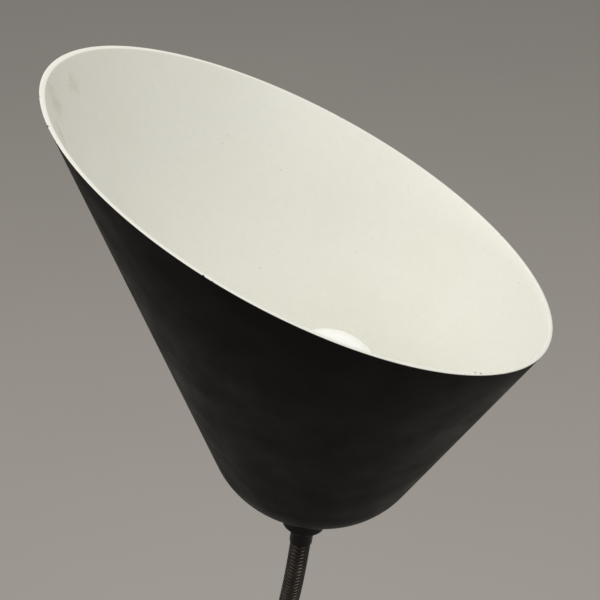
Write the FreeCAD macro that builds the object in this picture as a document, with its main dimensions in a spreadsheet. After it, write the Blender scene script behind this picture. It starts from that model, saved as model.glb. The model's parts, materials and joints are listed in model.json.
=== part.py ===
import FreeCAD, Part
import math
import os

import Sketcher
from FreeCAD import Placement, Rotation, Vector

# A gooseneck floor lamp: a weighted round base with a push button, a steel pole in two
# lengths, a flexible neck and a conical shade with a slanted mouth over one lampholder.
# Millimetres. The origin is the centre of the base's underside, +Z is up, and the neck
# reaches forward over -Y.

SIZES = {
    # base
    "base_radius": 120, "base_wall": 1.5, "base_edge_round": 5, "skirt_clearance": 1.5,
    "pad_inset": 4, "pad_thickness": 2,
    "weight_thickness": 18, "weight_clearance": 0.4, "weight_chamfer": 4.5,
    "recess_radius": 16, "recess_depth": 14,
    "channel_width": 20, "channel_depth": 7,
    "pocket_width": 32, "pocket_depth": 14.5, "pocket_reach": 50,
    # threaded tube that holds the pole on the base
    "stud_radius": 5, "stud_bore": 3.3, "thread_clearance": 0.05, "hole_clearance": 0.3,
    "nut_across_flats": 14, "nut_thickness": 4, "stud_end": 0.5,
    "washer_radius": 9.5, "washer_thickness": 1.5,
    # pole
    "pole_radius": 9.5, "pole_wall": 1.2, "pole_length": 450, "tube_clearance": 0.05,
    "foot_radius": 17, "foot_rim": 3, "foot_thread": 10, "foot_socket": 14, "foot_wall": 3.2,
    "grub_radius": 2, "grub_height": 16, "grub_key": 1,
    "spigot_length": 20, "joiner_ring": 4, "fitting_bore": 4,
    # neck
    "neck_radius": 5.8, "neck_bore": 3.3, "link_pitch": 40, "link_gap": 1.2, "link_bevel": 18,
    "neck_tilt": 60, "head_lean": 6.9, "neck_turn": 10,
    "neck_socket": 7, "socket_clearance": 0.05,
    "lower_ferrule": 22, "lower_ferrule_wall": 1.2,
    "sleeve_wall": 0.45, "sleeve_length": 8,
    # lead
    "lead_radius": 2.6, "lead_gap": 2.4, "lead_bend": 6, "lead_height": 5.5, "wire_radius": 1,
    # cord entry
    "gland_height": 9, "gland_bore": 3.4, "gland_neck": 5.5, "gland_flange": 7,
    "gland_flange_thickness": 2, "clamp_length": 24, "clamp_width": 7, "clamp_thickness": 3,
    "clamp_height": 3, "clamp_inset": 20, "clamp_screw_spacing": 17, "clamp_screw_radius": 1.5,
    "clamp_head_radius": 2.7, "clamp_head_height": 1.2,
    "block_length": 18, "block_width": 12, "block_bore": 1.6, "block_inset": 44,
    # foot switch
    "switch_inset": 38, "switch_radius": 12.5, "switch_hole_clearance": 1, "switch_lift": 1.5,
    "switch_neck": 10, "switch_bore": 8.8, "switch_floor": 3.5, "switch_ring_radius": 13.5,
    "switch_ring_height": 3.5, "switch_ring_web": 1, "button_radius": 7.5, "button_flange": 8.5,
    "button_flange_height": 3.5, "button_stand": 3.6, "button_clearance": 0.2,
    "button_round": 1.2, "spring_radius": 5, "spring_wire": 0.5, "spring_turns": 5,
    # shade, measured from the seat on its axis
    "shade_seat": 13, "shade_floor_slope": 27, "shade_wall_foot": 38.6, "shade_half_angle": 25.5,
    "shade_wall": 2, "shade_round": 48, "shade_height": 178, "mouth_tilt": 20.6,
    "mouth_turn": 7,
    # collar under the shade
    "collar_radius": 11.75, "collar_step": 0.45, "collar_height": 20, "collar_taper": 5,
    # lampholder
    "fibre_radius": 12, "fibre_thickness": 1.2, "stud_reach": 6.5,
    "cap_foot": 11, "cap_thread": 4.5, "cap_flare": 9, "cap_height": 15.5, "holder_radius": 19,
    "cap_wall": 2, "insert_radius": 16.6, "insert_thickness": 4.5, "insert_lift": 7,
    "contact_radius": 3, "contact_thickness": 1.5,
    "shell_bore": 13.5, "shell_wall": 0.5, "shell_height": 26, "shell_clearance": 0.2,
    "holder_height": 27,
    # bulb
    "bulb_radius": 30, "bulb_centre": 77, "bulb_wall": 1, "bulb_neck": 12.6, "bulb_foot": 36,
    "bulb_cap_radius": 13.2, "bulb_cap_wall": 0.3, "bulb_cap_height": 25, "bulb_contact": 4.5,
    "bulb_contact_height": 2.5,
}
LINKS = 11

document = FreeCAD.newDocument("gooseneck_floor_lamp")
sheet = document.addObject("Spreadsheet::Sheet", "Size")
for row, (alias, number) in enumerate(SIZES.items(), start=1):
    sheet.set(f"A{row}", alias)
    sheet.set(f"B{row}", str(number))
    sheet.setAlias(f"B{row}", alias)
document.recompute()
pieces = []


def size(alias):
    """The number in one cell of the sheet."""
    return float(sheet.get(alias))


# --- building blocks ---------------------------------------------------------------------

def new_body(label):
    """An empty body, listed as a piece."""
    body = document.addObject("PartDesign::Body", label)
    body.Label = label
    pieces.append(body)
    return body


def attached_sketch(body, role):
    """A sketch on one of the body's own origin planes."""
    plane = next(item for item in body.Origin.OriginFeatures if item.Role == role)
    sketch = body.newObject("Sketcher::SketchObject", f"{body.Name}_{role}_sketch")
    sketch.AttachmentSupport = (plane, "")
    sketch.MapMode = "FlatFace"
    return sketch


def pin_point(sketch, geometry, end, across, up):
    """Fix a sketch point at two expressions; a plain 0 across puts it on the vertical axis."""
    if across == "0":
        sketch.addConstraint(Sketcher.Constraint("PointOnObject", geometry, end, -2))
    else:
        index = sketch.addConstraint(
            Sketcher.Constraint("DistanceX", -1, 1, geometry, end, 5.0 + geometry))
        sketch.setExpression(f"Constraints[{index}]", across)
    if up == "0":
        sketch.addConstraint(Sketcher.Constraint("PointOnObject", geometry, end, -1))
    else:
        index = sketch.addConstraint(
            Sketcher.Constraint("DistanceY", -1, 1, geometry, end, 5.0 + geometry ** 2))
        sketch.setExpression(f"Constraints[{index}]", up)


def polygon_sketch(body, role, points):
    """A closed outline of straight lines through points given as pairs of expressions."""
    sketch = attached_sketch(body, role)
    count = len(points)
    starts = [Vector(5.0 + index, 5.0 + index ** 2, 0) for index in range(count)]
    for index in range(count):
        sketch.addGeometry(Part.LineSegment(starts[index], starts[(index + 1) % count]), False)
    for index in range(count):
        sketch.addConstraint(
            Sketcher.Constraint("Coincident", index, 2, (index + 1) % count, 1))
    for index, (across, up) in enumerate(points):
        pin_point(sketch, index, 1, across, up)
    return sketch


def circle_sketch(body, role, radius, across="0", up="0"):
    """One circle, with its centre at two expressions."""
    sketch = attached_sketch(body, role)
    sketch.addGeometry(Part.Circle(Vector(0, 0, 0), Vector(0, 0, 1), 3.0), False)
    pin_point(sketch, 0, 3, across, up)
    index = sketch.addConstraint(Sketcher.Constraint("Radius", 0, 3.0))
    sketch.setExpression(f"Constraints[{index}]", radius)
    return sketch


def turned(label, points):
    """A body turned about Z from an outline of (radius, height) expressions."""
    body = new_body(label)
    sketch = polygon_sketch(body, "XZ_Plane", points)
    revolution = body.newObject("PartDesign::Revolution", f"{label}_turned")
    revolution.Profile = sketch
    revolution.ReferenceAxis = (sketch, ["V_Axis"])
    revolution.Angle = 360
    document.recompute()
    return body


def tube(label, inner, outer, height):
    """A turned ring or tube from Z = 0 up."""
    return turned(label, [(inner, "0"), (outer, "0"), (outer, height), (inner, height)])


def pocket(body, sketch, length, reverse=False, middle=False):
    """Cut a sketch out of a body and make sure that it removed something."""
    before = body.Shape.Volume
    cut = body.newObject("PartDesign::Pocket", f"{sketch.Name}_cut")
    cut.Profile = sketch
    cut.setExpression("Length", length)
    cut.Midplane = middle
    cut.Reversed = reverse
    document.recompute()
    if not body.Shape.Volume < before - 0.01:
        raise RuntimeError(f"{cut.Name} removed nothing")
    return cut


def pad(body, sketch, length):
    """Raise a sketch along its normal."""
    raised = body.newObject("PartDesign::Pad", f"{sketch.Name}_pad")
    raised.Profile = sketch
    raised.setExpression("Length", length)
    document.recompute()
    return raised


def round_edges(body, radius, wanted):
    """Fillet the edges of the body's tip that the test picks."""
    tip = body.Tip
    names = [f"Edge{number}" for number, edge in enumerate(tip.Shape.Edges, start=1)
             if wanted(edge)]
    if not names:
        raise RuntimeError(f"no edge to round on {body.Label}")
    fillet = body.newObject("PartDesign::Fillet", f"{body.Name}_round_{len(body.Group)}")
    fillet.Base = (tip, names)
    fillet.setExpression("Radius", radius)
    document.recompute()
    return fillet


def ring_edge(radius, height):
    """A test for the round edge about Z with this radius and height."""
    def wanted(edge):
        curve = edge.Curve
        return (isinstance(curve, Part.Circle) and abs(curve.Radius - radius) < 0.01
                and abs(curve.Center.z - height) < 0.01)
    return wanted


def lift(piece, height):
    """Set a piece's height above the floor by an expression."""
    piece.setExpression("Placement.Base.z", height)
    return piece


def rod(label, radius, length):
    """A plain round bar from Z = 0 up."""
    piece = document.addObject("Part::Cylinder", label)
    piece.Label = label
    piece.setExpression("Radius", radius)
    piece.setExpression("Height", length)
    pieces.append(piece)
    return piece


def swept(label, edges, radius):
    """A round bar along a path of tangent edges, checked against section times length."""
    path = Part.Wire(edges)
    start = edges[0].valueAt(edges[0].FirstParameter)
    tangent = edges[0].tangentAt(edges[0].FirstParameter)
    profile = Part.Wire(Part.makeCircle(radius, start, tangent))
    solid = path.makePipeShell([profile], True, True)
    expected = math.pi * radius ** 2 * path.Length
    if abs(solid.Volume / expected - 1) > 0.02:
        raise RuntimeError(f"{label} has the wrong volume")
    return solid


def feature(label, shape):
    """A piece whose shape is made directly."""
    piece = document.addObject("Part::Feature", label)
    piece.Label = label
    piece.Shape = shape
    pieces.append(piece)
    return piece


# --- heights that several pieces share ---------------------------------------------------

WEIGHT_TOP = "Size.pad_thickness + Size.weight_thickness"
COVER_TOP = f"{WEIGHT_TOP} + Size.base_wall"
RECESS_TOP = "Size.pad_thickness + Size.recess_depth"
POLE_START = f"{COVER_TOP} + Size.foot_thread"
UPPER_START = f"{POLE_START} + Size.pole_length + Size.joiner_ring"
POLE_END = f"{UPPER_START} + Size.pole_length"
SWITCH_PLACE = "(Size.base_radius - Size.switch_inset)"
TUBE_BORE = "Size.pole_radius - Size.pole_wall"
SLEEVE_RADIUS = "Size.neck_radius + Size.socket_clearance + Size.sleeve_wall"
STUD_HOLE = "Size.stud_radius + Size.hole_clearance"
STUD_THREAD = "Size.stud_radius + Size.thread_clearance"


def cover_top():
    return size("pad_thickness") + size("weight_thickness") + size("base_wall")


def switch_place():
    return size("base_radius") - size("switch_inset")


def block_place():
    return size("base_radius") - size("block_inset")


def pole_end():
    start = cover_top() + size("foot_thread")
    return start + 2 * size("pole_length") + size("joiner_ring")


# --- base --------------------------------------------------------------------------------

def make_base_pad():
    """The foam disc that closes the base from below and stands on the floor."""
    rod("base_pad", "Size.base_radius - Size.pad_inset", "Size.pad_thickness")


def make_base_weight():
    """The cast disc, hollowed from below for the nut, the wiring and the switch."""
    radius = "Size.base_radius - Size.base_wall - Size.weight_clearance"
    top = "Size.weight_thickness"
    body = turned("base_weight", [
        (STUD_HOLE, "0"), (radius, "0"), (radius, f"{top} - Size.weight_chamfer"),
        (f"{radius} - Size.weight_chamfer", top), (STUD_HOLE, top)])
    recess = circle_sketch(body, "XY_Plane", "Size.recess_radius")
    pocket(body, recess, "Size.recess_depth", reverse=True)
    # The channel runs from well inside the switch's hole to just inside the rear pocket.
    half = "Size.channel_width / 2"
    front = f"{SWITCH_PLACE} - Size.switch_radius / 2"
    room_front = "Size.base_radius - Size.pocket_reach"
    channel = polygon_sketch(body, "XY_Plane", [
        (f"-{half}", f"-({front})"), (half, f"-({front})"),
        (half, f"{room_front} + 1"), (f"-{half}", f"{room_front} + 1")])
    pocket(body, channel, "Size.channel_depth", reverse=True)
    half = "Size.pocket_width / 2"
    room = polygon_sketch(body, "XY_Plane", [
        (f"-{half}", room_front), (half, room_front),
        (half, "Size.base_radius"), (f"-{half}", "Size.base_radius")])
    pocket(body, room, "Size.pocket_depth", reverse=True)
    well = circle_sketch(
        body, "XY_Plane", "Size.switch_radius + Size.switch_hole_clearance",
        "0", f"-{SWITCH_PLACE}")
    pocket(body, well, top, reverse=True)
    lift(body, "Size.pad_thickness")


def make_base_cover():
    """The sheet cover over the weight, with its holes for the pole, button and cord."""
    outer = "Size.base_radius"
    inner = "Size.base_radius - Size.base_wall"
    height = f"{COVER_TOP} - Size.skirt_clearance"
    under = f"{height} - Size.base_wall"
    body = turned("base_cover", [
        (STUD_HOLE, under), (inner, under), (inner, "0"), (outer, "0"), (outer, height),
        (STUD_HOLE, height)])
    top = cover_top() - size("skirt_clearance")
    round_edges(body, "Size.base_edge_round", ring_edge(size("base_radius"), top))
    round_edges(body, "Size.base_edge_round - Size.base_wall",
                ring_edge(size("base_radius") - size("base_wall"), top - size("base_wall")))
    button_hole = circle_sketch(
        body, "XY_Plane", "Size.switch_neck + Size.hole_clearance", "0", f"-{SWITCH_PLACE}")
    pocket(body, button_hole, COVER_TOP, reverse=True)
    cord_hole = circle_sketch(
        body, "XZ_Plane", "Size.gland_neck + Size.hole_clearance",
        "0", "Size.gland_height - Size.skirt_clearance")
    pocket(body, cord_hole, "2 * Size.base_radius")
    lift(body, "Size.skirt_clearance")


def make_base_fixings():
    """The threaded tube through the weight, and its washer and nut."""
    length = f"{POLE_START} - Size.stud_end - ({RECESS_TOP} - Size.washer_thickness"
    length = f"{length} - Size.nut_thickness - Size.stud_end)"
    stud = tube("base_stud", "Size.stud_bore", "Size.stud_radius", length)
    lift(stud, f"{RECESS_TOP} - Size.washer_thickness - Size.nut_thickness - Size.stud_end")
    washer = tube("base_washer", STUD_HOLE, "Size.washer_radius", "Size.washer_thickness")
    lift(washer, f"{RECESS_TOP} - Size.washer_thickness")
    nut = new_body("base_nut")
    across = "Size.nut_across_flats / 2"
    corner = f"{across} / cos(30)"
    hexagon = polygon_sketch(nut, "XY_Plane", [
        (corner, "0"), (f"{corner} / 2", across), (f"-{corner} / 2", across),
        (f"-{corner}", "0"), (f"-{corner} / 2", f"-{across}"), (f"{corner} / 2", f"-{across}")])
    pad(nut, hexagon, "Size.nut_thickness")
    pocket(nut, circle_sketch(nut, "XY_Plane", STUD_THREAD), "Size.nut_thickness", reverse=True)
    lift(nut, f"{RECESS_TOP} - Size.washer_thickness - Size.nut_thickness")


def make_cord_entry():
    """The rubber gland in the rear of the skirt, the cord clamp and the terminal block."""
    flange = "Size.gland_flange_thickness"
    # The skirt is round, so the inner flange's rim meets it a little further in.
    inside = "sqrt((Size.base_radius - Size.base_wall)^2 - Size.gland_flange^2)"
    groove_end = f"{flange} + Size.base_radius - {inside}"
    total = f"{groove_end} + {flange}"
    gland = turned("cable_gland", [
        ("Size.gland_bore", "0"), ("Size.gland_flange", "0"), ("Size.gland_flange", flange),
        ("Size.gland_neck", flange), ("Size.gland_neck", groove_end),
        ("Size.gland_flange", groove_end), ("Size.gland_flange", total),
        ("Size.gland_bore", total)])
    inside = math.sqrt((size("base_radius") - size("base_wall")) ** 2
                       - size("gland_flange") ** 2)
    gland.Placement = Placement(
        Vector(0, inside - size("gland_flange_thickness"), size("gland_height")),
        Rotation(Vector(1, 0, 0), -90))

    clamp = new_body("cord_clamp")
    half, wide = "Size.clamp_length / 2", "Size.clamp_width / 2"
    plate = polygon_sketch(clamp, "XY_Plane", [
        (f"-{half}", f"-{wide}"), (half, f"-{wide}"), (half, wide), (f"-{half}", wide)])
    pad(clamp, plate, "Size.clamp_thickness")
    for side in ("-", ""):
        hole = circle_sketch(clamp, "XY_Plane", "Size.clamp_screw_radius + Size.hole_clearance",
                             f"{side}Size.clamp_screw_spacing / 2")
        pocket(clamp, hole, "Size.clamp_thickness", reverse=True)
    clamp_place = size("base_radius") - size("clamp_inset")
    clamp.Placement.Base = Vector(0, clamp_place, 0)
    lift(clamp, "Size.pad_thickness + Size.clamp_height")

    screws = []
    foot = size("pad_thickness") + size("clamp_height") - size("clamp_head_height")
    ceiling = size("pad_thickness") + size("pocket_depth")
    for side in (-1, 1):
        base = Vector(side * size("clamp_screw_spacing") / 2, clamp_place, foot)
        head = Part.makeCylinder(size("clamp_head_radius"), size("clamp_head_height"), base)
        shank = Part.makeCylinder(size("clamp_screw_radius"), ceiling - foot, base)
        screws.append(head.fuse(shank).removeSplitter())
    feature("clamp_screws", Part.makeCompound(screws))

    block = new_body("terminal_block")
    half, wide = "Size.block_length / 2", "Size.block_width / 2"
    outline = polygon_sketch(block, "XY_Plane", [
        (f"-{half}", f"-{wide}"), (half, f"-{wide}"), (half, wide), (f"-{half}", wide)])
    middle = "(Size.lead_height - Size.pad_thickness)"
    pad(block, outline, f"2 * {middle}")
    for offset in ("-Size.block_length / 3", "0", "Size.block_length / 3"):
        way = circle_sketch(block, "XZ_Plane", "Size.block_bore", offset, middle)
        pocket(block, way, "2 * Size.block_width", middle=True)
    block.Placement.Base = Vector(0, block_place() + size("block_width") / 2, 0)
    lift(block, "Size.pad_thickness")


def make_foot_switch():
    """The push switch under the cover, its ring, its button, its spring and its wires."""
    floor = "Size.pad_thickness + Size.switch_lift"
    shoulder = f"{WEIGHT_TOP} - ({floor})"
    top = f"{shoulder} + Size.base_wall + Size.switch_ring_height - Size.switch_ring_web"
    body = turned("switch_body", [
        ("0", "0"), ("Size.switch_radius", "0"), ("Size.switch_radius", shoulder),
        ("Size.switch_neck", shoulder), ("Size.switch_neck", top), ("Size.switch_bore", top),
        ("Size.switch_bore", "Size.switch_floor"), ("0", "Size.switch_floor")])
    body.Placement.Base = Vector(0, -switch_place(), 0)
    lift(body, floor)

    inner = "Size.switch_neck + Size.thread_clearance"
    lip = "Size.button_radius + Size.button_clearance"
    under = "Size.switch_ring_height - Size.switch_ring_web"
    ring = turned("switch_ring", [
        (inner, "0"), ("Size.switch_ring_radius", "0"),
        ("Size.switch_ring_radius", "Size.switch_ring_height - 1"),
        ("Size.switch_ring_radius - 1", "Size.switch_ring_height"),
        (lip, "Size.switch_ring_height"), (lip, under), (inner, under)])
    ring.Placement.Base = Vector(0, -switch_place(), 0)
    lift(ring, COVER_TOP)

    web = f"{COVER_TOP} + Size.switch_ring_height - Size.switch_ring_web"
    foot = f"{web} - Size.button_clearance - Size.button_flange_height"
    height = "Size.button_flange_height + Size.button_clearance + Size.switch_ring_web"
    height = f"{height} + Size.button_stand"
    button = turned("switch_button", [
        ("0", "0"), ("Size.button_flange", "0"),
        ("Size.button_flange", "Size.button_flange_height"),
        ("Size.button_radius", "Size.button_flange_height"),
        ("Size.button_radius", height), ("0", height)])
    top_number = (size("button_flange_height") + size("button_clearance")
                  + size("switch_ring_web") + size("button_stand"))
    round_edges(button, "Size.button_round", ring_edge(size("button_radius"), top_number))
    button.Placement.Base = Vector(0, -switch_place(), 0)
    lift(button, foot)
    make_switch_spring()
    make_switch_wires()


def make_switch_spring():
    """The coil spring between the switch's floor and the button."""
    wire = size("spring_wire")
    bottom = size("pad_thickness") + size("switch_lift") + size("switch_floor")
    top = (cover_top() + size("switch_ring_height") - size("switch_ring_web")
           - size("button_clearance") - size("button_flange_height"))
    rise = top - bottom - 2 * wire
    helix = Part.makeHelix(rise / size("spring_turns"), rise, size("spring_radius"))
    profile = Part.Wire(Part.makeCircle(wire, Vector(size("spring_radius"), 0, 0),
                                        Vector(0, 1, 0)))
    coil = Part.Wire(helix.Edges).makePipeShell([profile], True, True)
    spring = feature("switch_spring", coil)
    spring.Placement = Placement(Vector(0, -switch_place(), bottom + wire), Rotation())


def make_switch_wires():
    """Two single wires from the terminal block's outer ways to the switch, under the nut."""
    across = size("block_length") / 3
    inner_side = across - size("wire_radius")
    reach = math.sqrt(size("switch_radius") ** 2 - inner_side ** 2)
    front = -switch_place() + reach
    length = block_place() - front
    wires = []
    for side in (-1, 1):
        start = Vector(side * across, front, size("lead_height"))
        wires.append(Part.makeCylinder(size("wire_radius"), length, start, Vector(0, 1, 0)))
    feature("switch_wires", Part.makeCompound(wires))


# --- pole --------------------------------------------------------------------------------

def make_pole_foot():
    """The turned foot that screws onto the stud and takes the pole."""
    socket = "Size.pole_radius + Size.tube_clearance"
    top = "Size.foot_thread + Size.foot_socket"
    body = turned("pole_foot", [
        (STUD_THREAD, "0"), ("Size.foot_radius", "0"), ("Size.foot_radius", "Size.foot_rim"),
        (f"{socket} + Size.foot_wall", "Size.foot_thread"),
        (f"{socket} + Size.foot_wall", top), (socket, top), (socket, "Size.foot_thread"),
        (STUD_THREAD, "Size.foot_thread")])
    hole = circle_sketch(body, "XZ_Plane", "Size.grub_radius + Size.thread_clearance",
                         "0", "Size.grub_height")
    pocket(body, hole, "2 * Size.foot_radius")
    lift(body, COVER_TOP)

    screw = turned("foot_grub_screw", [
        ("0", "0"), ("Size.grub_radius", "0"), ("Size.grub_radius", "Size.foot_wall"),
        ("Size.grub_key", "Size.foot_wall"), ("Size.grub_key", "Size.foot_wall / 2"),
        ("0", "Size.foot_wall / 2")])
    tube_side = size("pole_radius") + size("thread_clearance")
    screw.Placement = Placement(Vector(0, tube_side, cover_top() + size("grub_height")),
                                Rotation(Vector(1, 0, 0), -90))


def make_pole():
    """The two tubes and the joiner between them."""
    lower = tube("lower_pole", TUBE_BORE, "Size.pole_radius", "Size.pole_length")
    lift(lower, POLE_START)
    upper = tube("upper_pole", TUBE_BORE, "Size.pole_radius", "Size.pole_length")
    lift(upper, UPPER_START)
    plug = f"{TUBE_BORE} - Size.tube_clearance"
    spigot, ring = "Size.spigot_length", "Size.spigot_length + Size.joiner_ring"
    joiner = turned("pole_joiner", [
        ("Size.fitting_bore", "0"), (plug, "0"), (plug, spigot), ("Size.pole_radius", spigot),
        ("Size.pole_radius", ring), (plug, ring), (plug, f"{ring} + {spigot}"),
        ("Size.fitting_bore", f"{ring} + {spigot}")])
    lift(joiner, f"{POLE_START} + Size.pole_length - Size.spigot_length")


def make_lower_ferrule():
    """The tapered plug in the pole's top that holds the neck's lower end."""
    plug = f"{TUBE_BORE} - Size.tube_clearance"
    socket = "Size.neck_radius + Size.socket_clearance"
    top = "Size.spigot_length + Size.lower_ferrule"
    ledge = f"{top} - Size.neck_socket"
    ferrule = turned("neck_ferrule_lower", [
        ("Size.fitting_bore", "0"), (plug, "0"), (plug, "Size.spigot_length"),
        ("Size.pole_radius", "Size.spigot_length"),
        ("Size.pole_radius", "Size.spigot_length + Size.joiner_ring"),
        (f"{socket} + Size.lower_ferrule_wall", top), (socket, top), (socket, ledge),
        ("Size.fitting_bore", ledge)])
    lift(ferrule, f"{POLE_END} - Size.spigot_length")


def make_pole_lead():
    """The lead from the terminal block, round the bend under the stud and up the pole."""
    height = size("lead_height")
    bend = size("lead_bend")
    start = Vector(0, block_place(), height)
    turn_in = Vector(0, bend, height)
    turn_out = Vector(0, 0, height + bend)
    middle = Vector(0, bend * (1 - math.sin(math.pi / 4)),
                    height + bend * (1 - math.cos(math.pi / 4)))
    end = Vector(0, 0, first_hinge_height() - size("lead_gap") / 2)
    edges = [Part.LineSegment(start, turn_in).toShape(),
             Part.Arc(turn_in, middle, turn_out).toShape(),
             Part.LineSegment(turn_out, end).toShape()]
    feature("pole_lead", swept("pole_lead", edges, size("lead_radius")))


# --- neck --------------------------------------------------------------------------------

def first_hinge_height():
    return pole_end() + size("lower_ferrule") + size("link_pitch") / 2


def neck_turning(place):
    """The direction of the neck at link number place, counted from the pole, as a rotation."""
    middle = (LINKS + 1) / 2
    tilt = size("neck_tilt") * (1 - abs(place - middle) / middle)
    lean = size("head_lean") * place / (LINKS + 1)
    return (Rotation(Vector(0, 1, 0), lean) * Rotation(Vector(0, 0, 1), size("neck_turn"))
            * Rotation(Vector(1, 0, 0), tilt))


def neck_hinges():
    """The points where the neck bends, from the pole to the head."""
    points = [Vector(0, 0, first_hinge_height())]
    for link in range(1, LINKS + 1):
        step = neck_turning(link).multVec(Vector(0, 0, size("link_pitch")))
        points.append(points[-1] + step)
    return points


def head_placement():
    """The head's frame: its origin is the middle of the shade's seat, and +Z is its axis."""
    turning = Rotation(Vector(0, 1, 0), size("head_lean"))
    reach = size("link_pitch") / 2 + size("sleeve_length") + size("collar_height")
    seat = neck_hinges()[-1] + turning.multVec(Vector(0, 0, reach))
    return Placement(seat, turning)


def bevelled_end(height, direction):
    """The bore and rim corners of a link's end that faces the hinge at this height."""
    corners = []
    for radius in ("Size.neck_bore", "Size.neck_radius"):
        back = f"(Size.link_gap / 2 + {radius} * tan(Size.link_bevel))"
        corners.append((radius, f"{height} {direction} {back}"))
    return corners


def make_neck():
    """The flexible neck, as short tubes that turn on one another."""
    half = "(Size.link_pitch / 2 + Size.neck_socket)"
    top = bevelled_end(half, "-")
    stub = turned("neck_link_00", [("Size.neck_bore", "0"), ("Size.neck_radius", "0"),
                                   top[1], top[0]])
    lift(stub, f"{POLE_END} + Size.lower_ferrule - Size.neck_socket")

    hinges = neck_hinges()
    for link in range(1, LINKS + 1):
        low, high = bevelled_end("0", "+"), bevelled_end("Size.link_pitch", "-")
        body = turned(f"neck_link_{link:02d}", [low[0], low[1], high[1], high[0]])
        body.Placement = Placement(hinges[link - 1], neck_turning(link))
        lead = rod(f"neck_lead_{link:02d}", "Size.lead_radius",
                   "Size.link_pitch - Size.lead_gap")
        ahead = neck_turning(link).multVec(Vector(0, 0, size("lead_gap") / 2))
        lead.Placement = Placement(hinges[link - 1] + ahead, neck_turning(link))

    low = bevelled_end("0", "+")
    stub = turned(f"neck_link_{LINKS + 1:02d}", [
        low[0], low[1], ("Size.neck_radius", half), ("Size.neck_bore", half)])
    stub.Placement = Placement(hinges[-1], head_placement().Rotation)


# --- head --------------------------------------------------------------------------------

def in_head(piece, height):
    """Stand a piece on the head's axis at this height above the shade's seat."""
    piece.Placement = head_placement() * Placement(Vector(0, 0, height), Rotation())
    return piece


def make_upper_ferrule():
    """The smooth sleeve on the neck's upper end, with the threaded stud above it."""
    socket = "Size.neck_radius + Size.socket_clearance"
    sleeve = "Size.sleeve_length"
    top = f"{sleeve} + Size.collar_height + Size.stud_reach"
    ferrule = turned("neck_ferrule_upper", [
        (socket, "0"), (SLEEVE_RADIUS, "0"), (SLEEVE_RADIUS, sleeve),
        ("Size.stud_radius", sleeve), ("Size.stud_radius", top), ("Size.stud_bore", top),
        ("Size.stud_bore", "Size.neck_socket"), (socket, "Size.neck_socket")])
    in_head(ferrule, -size("collar_height") - size("sleeve_length"))


def make_collar():
    """The tapered collar that the shade sits on."""
    collar = turned("shade_collar", [
        (STUD_THREAD, "0"), (f"{SLEEVE_RADIUS} + Size.collar_step", "0"),
        ("Size.collar_radius", "Size.collar_taper"),
        ("Size.collar_radius", "Size.collar_height"), (STUD_THREAD, "Size.collar_height")])
    in_head(collar, -size("collar_height"))


def make_shade():
    """The spun cone with a round floor, cut off on a slant at its mouth."""
    slope, angle = "Size.shade_floor_slope", "Size.shade_half_angle"
    # The floor's line starts at the seat's rim and the wall's line at the seat's height.
    cross = f"(tan({slope}) * tan({angle}))"
    corner_r = f"(Size.shade_wall_foot - Size.shade_seat * {cross}) / (1 - {cross})"
    corner_z = f"({corner_r} - Size.shade_seat) * tan({slope})"
    wall_in = f"Size.shade_wall / cos({angle})"
    floor_up = f"Size.shade_wall / cos({slope})"
    # The same two lines, moved inwards by the wall's thickness.
    inner_foot = f"(Size.shade_wall_foot - {wall_in})"
    inner_seat = f"(Size.shade_seat - {floor_up} / tan({slope}))"
    inner_r = f"({inner_foot} - {inner_seat} * {cross}) / (1 - {cross})"
    inner_z = f"({inner_r} - {inner_seat}) * tan({slope})"
    bend_r = f"{inner_seat} + Size.shade_wall / tan({slope})"
    top = "2 * Size.shade_height"
    top_r = f"Size.shade_wall_foot + {top} * tan({angle})"
    shade = turned("shade", [
        (STUD_HOLE, "0"), ("Size.shade_seat", "0"), (corner_r, corner_z), (top_r, top),
        (f"{top_r} - {wall_in}", top), (inner_r, inner_z), (bend_r, "Size.shade_wall"),
        (STUD_HOLE, "Size.shade_wall")])
    corners = [edge for edge in shade.Shape.Edges if isinstance(edge.Curve, Part.Circle)
               and size("shade_seat") + 5 < edge.Curve.Radius < 2 * size("shade_wall_foot")]
    outer, inner = sorted(corners, key=lambda edge: -edge.Curve.Radius)
    outer_ring = ring_edge(outer.Curve.Radius, outer.Curve.Center.z)
    inner_ring = ring_edge(inner.Curve.Radius, inner.Curve.Center.z)
    round_edges(shade, "Size.shade_round", outer_ring)
    round_edges(shade, "Size.shade_round - Size.shade_wall", inner_ring)

    reach = f"({top_r} + Size.shade_wall)"
    rise = f"{reach} * tan(Size.mouth_tilt)"
    mouth = polygon_sketch(shade, "XZ_Plane", [
        (f"-{reach}", f"Size.shade_height + {rise}"),
        (reach, f"Size.shade_height - {rise}"),
        (reach, f"2 * {top}"), (f"-{reach}", f"2 * {top}")])
    pocket(shade, mouth, f"4 * {reach}", middle=True)
    in_head(shade, 0)
    shade.Placement = shade.Placement * Placement(
        Vector(), Rotation(Vector(0, 0, 1), size("mouth_turn")))


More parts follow.
